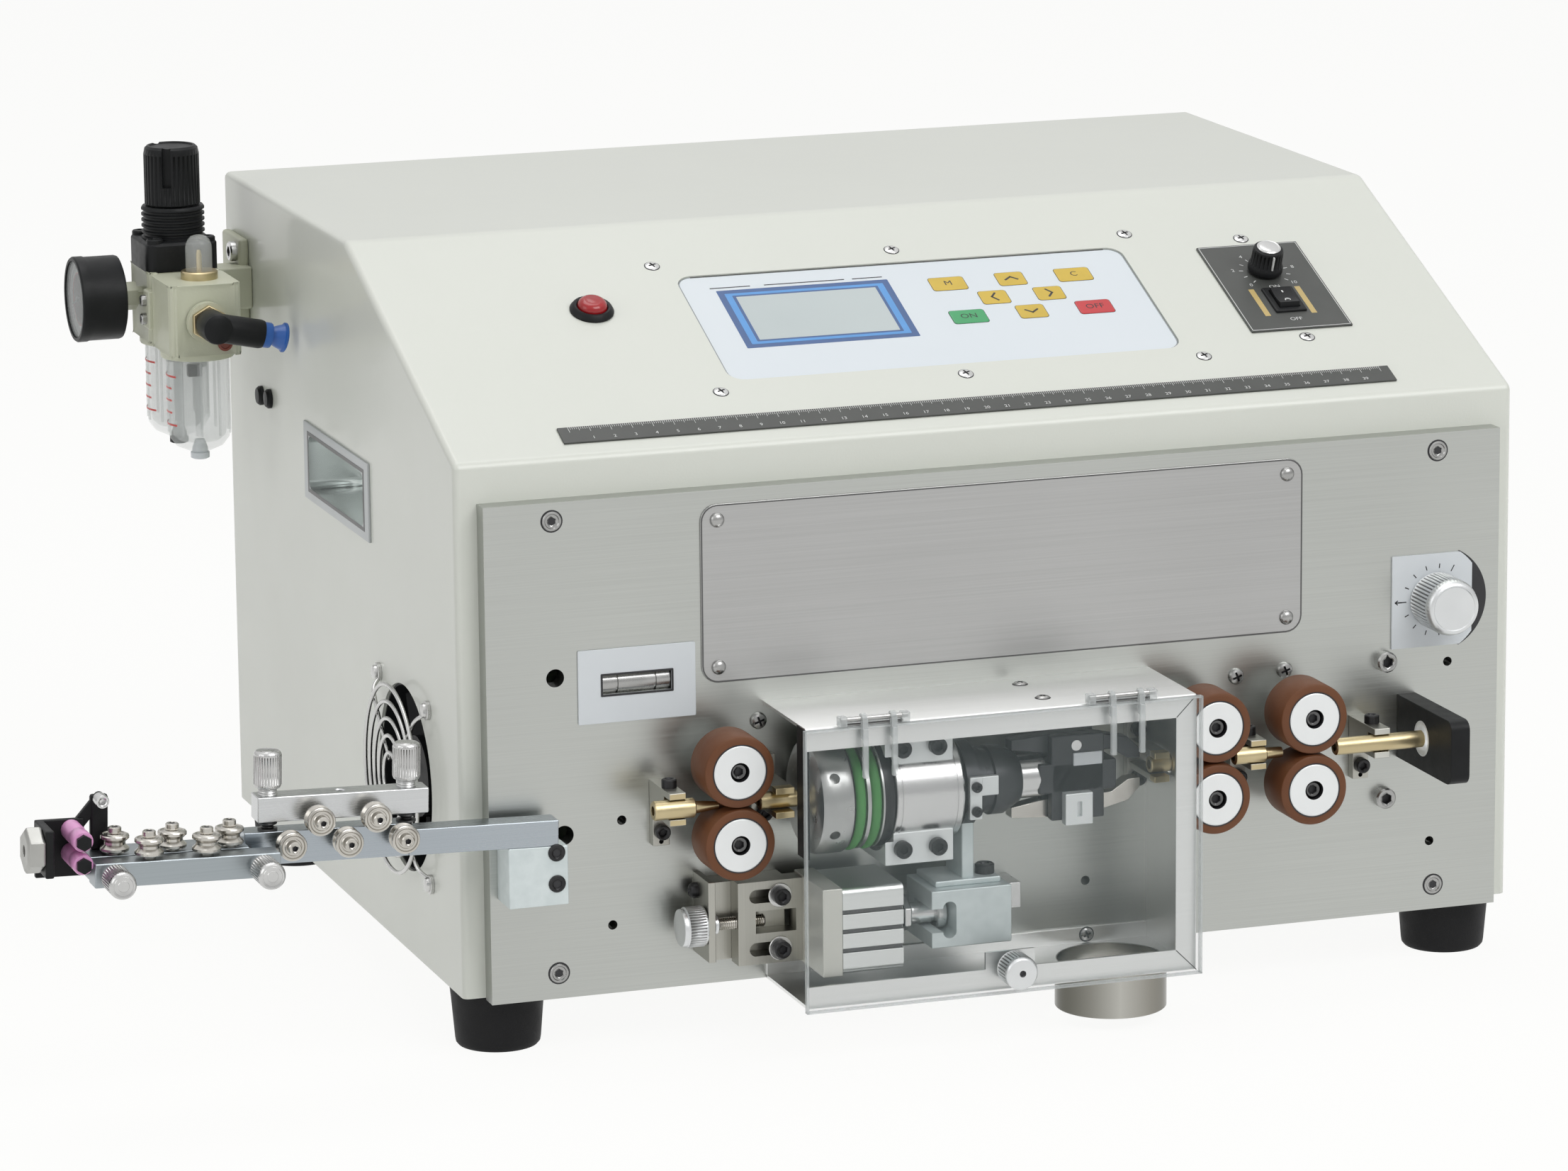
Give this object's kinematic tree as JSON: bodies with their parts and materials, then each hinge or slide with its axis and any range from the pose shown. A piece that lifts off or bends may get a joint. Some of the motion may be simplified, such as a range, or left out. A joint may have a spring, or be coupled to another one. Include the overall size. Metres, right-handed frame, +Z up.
{
  "type": "wire cutting and stripping machine",
  "caption": "Bench machine that straightens, feeds, cuts and strips wire: sloped cabinet with control panel, windowed rotary cutter box, feed rollers, straightener arm and air unit.",
  "frame": {"origin": "on the bench, at the centre of the four feet", "axes": "+X along the wire, to the right seen from the front; +Y from the front to the back; +Z up"},
  "size_m": [0.7314, 0.4873, 0.3735],
  "materials": {
    "cream_paint": "semi-gloss powder coat",
    "grey_paint": "semi-gloss powder coat",
    "plate_steel": "fine brushed",
    "bright_steel": "machined",
    "dark_steel": "blackened",
    "zinc": "bright zinc plate",
    "aluminium": "machined",
    "label_film": "printed film",
    "panel_film": "printed film",
    "black_plastic": "moulded",
    "grey_plastic": "moulded",
    "red_plastic": "glossy",
    "black_rubber": "matte",
    "roller_rubber": "ground",
    "green_belt": "smooth",
    "ivory_cast": "cast, painted",
    "clear_plastic": "clear",
    "brass": "turned",
    "motor_black": "matte",
    "board_grey": "matte"
  },
  "bodies": {
    "machine": {"cover": "cream_paint", "chassis": "grey_paint", "front_plate": "plate_steel", "screws": "dark_steel", "label_plates": "label_film", "control_panel": "panel_film", "switch_bodies": "black_plastic", "rubber_feet": "black_rubber", "handle_trays": "grey_plastic", "fan_frame": "black_plastic", "fan_guard": "bright_steel", "air_unit_body": "ivory_cast", "air_bowls": "clear_plastic", "pressure_gauge": "black_plastic", "air_fittings": "black_plastic", "arm_beam": "bright_steel", "end_guide": "dark_steel", "cutter_box": "plate_steel", "spindle_housing": "bright_steel", "wire_guides": "brass", "plate_brackets": "bright_steel", "outlet_block": "black_plastic", "drive_motors": "motor_black", "shaft_bearings": "bright_steel", "electronics": "board_grey", "drive_belts": "green_belt"},
    "feed_left_lower": {"feed_roller_left_lower": "roller_rubber"},
    "feed_left_upper": {"feed_roller_left_upper": "roller_rubber"},
    "feed_middle_lower": {"feed_roller_middle_lower": "roller_rubber"},
    "feed_middle_upper": {"feed_roller_middle_upper": "roller_rubber"},
    "feed_right_lower": {"feed_roller_right_lower": "roller_rubber"},
    "feed_right_upper": {"feed_roller_right_upper": "roller_rubber"},
    "upper_bar": {"upper_bar": "bright_steel"},
    "front_bar": {"front_bar": "bright_steel"},
    "level_roller_1": {"level_roller_1": "bright_steel"},
    "level_roller_2": {"level_roller_2": "bright_steel"},
    "level_roller_3": {"level_roller_3": "bright_steel"},
    "level_roller_4": {"level_roller_4": "bright_steel"},
    "level_roller_5": {"level_roller_5": "bright_steel"},
    "side_roller_1": {"side_roller_1": "bright_steel"},
    "side_roller_2": {"side_roller_2": "bright_steel"},
    "side_roller_3": {"side_roller_3": "bright_steel"},
    "side_roller_4": {"side_roller_4": "bright_steel"},
    "side_roller_5": {"side_roller_5": "bright_steel"},
    "spindle": {"spindle": "bright_steel"},
    "fork_slide": {"fork_slide": "zinc", "cylinder_rod": "bright_steel"},
    "blade_arm_upper": {"blade_arm_upper": "dark_steel"},
    "blade_arm_lower": {"blade_arm_lower": "dark_steel"},
    "adjuster_knob": {"adjuster_knob": "bright_steel"},
    "cylinder": {"slide_plate": "dark_steel", "air_cylinder": "aluminium"},
    "window": {"window_pane": "clear_plastic"},
    "window_knob": {"window_knob": "aluminium"},
    "dial_knob": {"dial_knob": "aluminium"},
    "speed_knob": {"speed_knob": "black_plastic"},
    "rocker": {"rocker": "black_plastic"},
    "red_button": {"red_button": "red_plastic"},
    "regulator_knob": {"regulator_knob": "black_plastic"},
    "fan_rotor": {"fan_rotor": "black_plastic"}
  },
  "joints": [
    {"name": "feed_left_lower_turn", "type": "hinge", "parent": "machine", "child": "feed_left_lower", "pos_m": [-0.1425, -0.238, 0.1015], "axis": [0, 1, 0], "continuous": true},
    {"name": "feed_left_upper_turn", "type": "hinge", "parent": "machine", "child": "feed_left_upper", "pos_m": [-0.1425, -0.238, 0.1355], "axis": [0, 1, 0], "continuous": true},
    {"name": "feed_middle_lower_turn", "type": "hinge", "parent": "machine", "child": "feed_middle_lower", "pos_m": [0.0905, -0.238, 0.1015], "axis": [0, 1, 0], "continuous": true},
    {"name": "feed_middle_upper_turn", "type": "hinge", "parent": "machine", "child": "feed_middle_upper", "pos_m": [0.0905, -0.238, 0.1355], "axis": [0, 1, 0], "continuous": true},
    {"name": "feed_right_lower_turn", "type": "hinge", "parent": "machine", "child": "feed_right_lower", "pos_m": [0.139, -0.238, 0.1015], "axis": [0, 1, 0], "continuous": true},
    {"name": "feed_right_upper_turn", "type": "hinge", "parent": "machine", "child": "feed_right_upper", "pos_m": [0.139, -0.238, 0.1355], "axis": [0, 1, 0], "continuous": true},
    {"name": "upper_bar_lift", "type": "slide", "parent": "machine", "child": "upper_bar", "axis": [0.0297, 0, 0.9996], "range_m": [-0.0015, 0.003]},
    {"name": "front_bar_shift", "type": "slide", "parent": "machine", "child": "front_bar", "axis": [0, 1, 0], "range_m": [-0.003, 0.0015]},
    {"name": "level_roller_1_turn", "type": "hinge", "parent": "machine", "child": "level_roller_1", "pos_m": [-0.34908, -0.238, 0.11845], "axis": [0, 1, 0], "continuous": true},
    {"name": "level_roller_2_turn", "type": "hinge", "parent": "upper_bar", "child": "level_roller_2", "pos_m": [-0.33577, -0.238, 0.12866], "axis": [0, 1, 0], "continuous": true},
    {"name": "level_roller_3_turn", "type": "hinge", "parent": "machine", "child": "level_roller_3", "pos_m": [-0.32309, -0.238, 0.11768], "axis": [0, 1, 0], "continuous": true},
    {"name": "level_roller_4_turn", "type": "hinge", "parent": "upper_bar", "child": "level_roller_4", "pos_m": [-0.30978, -0.238, 0.12789], "axis": [0, 1, 0], "continuous": true},
    {"name": "level_roller_5_turn", "type": "hinge", "parent": "machine", "child": "level_roller_5", "pos_m": [-0.2971, -0.238, 0.11691], "axis": [0, 1, 0], "continuous": true},
    {"name": "side_roller_1_turn", "type": "hinge", "parent": "machine", "child": "side_roller_1", "pos_m": [-0.42789, -0.2327, 0.12609], "axis": [0.0297, 0, 0.9996], "continuous": true},
    {"name": "side_roller_2_turn", "type": "hinge", "parent": "front_bar", "child": "side_roller_2", "pos_m": [-0.41489, -0.2433, 0.12571], "axis": [0.0297, 0, 0.9996], "continuous": true},
    {"name": "side_roller_3_turn", "type": "hinge", "parent": "machine", "child": "side_roller_3", "pos_m": [-0.4019, -0.2327, 0.12532], "axis": [0.0297, 0, 0.9996], "continuous": true},
    {"name": "side_roller_4_turn", "type": "hinge", "parent": "front_bar", "child": "side_roller_4", "pos_m": [-0.3889, -0.2433, 0.12494], "axis": [0.0297, 0, 0.9996], "continuous": true},
    {"name": "side_roller_5_turn", "type": "hinge", "parent": "machine", "child": "side_roller_5", "pos_m": [-0.37591, -0.2327, 0.12455], "axis": [0.0297, 0, 0.9996], "continuous": true},
    {"name": "spindle_turn", "type": "hinge", "parent": "machine", "child": "spindle", "pos_m": [0, -0.238, 0.1185], "axis": [1, 0, 0], "continuous": true},
    {"name": "fork_slide_move", "type": "slide", "parent": "machine", "child": "fork_slide", "axis": [1, 0, 0], "range_m": [0, 0.0045]},
    {"name": "blade_arm_upper_swing", "type": "hinge", "parent": "spindle", "child": "blade_arm_upper", "pos_m": [0.0205, -0.238, 0.1335], "axis": [0, 1, 0], "range_deg": [0, 5.6]},
    {"name": "blade_arm_lower_swing", "type": "hinge", "parent": "spindle", "child": "blade_arm_lower", "pos_m": [0.0205, -0.238, 0.1035], "axis": [0, -1, 0], "range_deg": [0, 5.6]},
    {"name": "adjuster_knob_turn", "type": "hinge", "parent": "machine", "child": "adjuster_knob", "pos_m": [-0.15, -0.227, 0.0595], "axis": [1, 0, 0], "range_deg": [-540, 1080]},
    {"name": "cylinder_shift", "type": "slide", "parent": "machine", "child": "cylinder", "axis": [1, 0, 0], "range_m": [-0.0015, 0.003]},
    {"name": "window_open", "type": "hinge", "parent": "machine", "child": "window", "pos_m": [0, -0.2708, 0.1612], "axis": [-1, 0, 0], "range_deg": [0, 105]},
    {"name": "window_knob_turn", "type": "hinge", "parent": "window", "child": "window_knob", "pos_m": [-0.02, -0.277, 0.0385], "axis": [0, 1, 0], "continuous": true},
    {"name": "dial_knob_turn", "type": "hinge", "parent": "machine", "child": "dial_knob", "pos_m": [0.217, -0.22, 0.178], "axis": [0, 1, 0], "range_deg": [0, 300]},
    {"name": "speed_knob_turn", "type": "hinge", "parent": "machine", "child": "speed_knob", "pos_m": [0.176, -0.10044, 0.32304], "axis": [0, 0.3857, -0.9226], "range_deg": [-150, 150]},
    {"name": "rocker_tilt", "type": "hinge", "parent": "machine", "child": "rocker", "pos_m": [0.176, -0.12289, 0.30932], "axis": [1, 0, 0], "range_deg": [-8, 8]},
    {"name": "red_button_press", "type": "slide", "parent": "machine", "child": "red_button", "axis": [0, 0.3857, -0.9226], "range_m": [0, 0.0025], "stiffness_N_per_m": 600},
    {"name": "regulator_knob_turn", "type": "hinge", "parent": "machine", "child": "regulator_knob", "pos_m": [-0.3, 0.148, 0.354], "axis": [0, 0, 1], "range_deg": [-720, 720]},
    {"name": "fan_turn", "type": "hinge", "parent": "machine", "child": "fan_rotor", "pos_m": [-0.25, -0.11, 0.1115], "axis": [1, 0, 0], "continuous": true}
  ],
  "couplings": [
    {"joint": "feed_left_upper_turn", "follows": "feed_left_lower_turn", "ratio": -1},
    {"joint": "feed_middle_upper_turn", "follows": "feed_middle_lower_turn", "ratio": -1},
    {"joint": "feed_right_lower_turn", "follows": "feed_middle_lower_turn", "ratio": 1},
    {"joint": "feed_right_upper_turn", "follows": "feed_middle_lower_turn", "ratio": -1},
    {"joint": "blade_arm_upper_swing", "follows": "fork_slide_move", "rad_per_m": 21.2},
    {"joint": "blade_arm_lower_swing", "follows": "fork_slide_move", "rad_per_m": 21.2},
    {"joint": "cylinder_shift", "follows": "adjuster_knob_turn", "m_per_rad": 0.00015915}
  ]
}
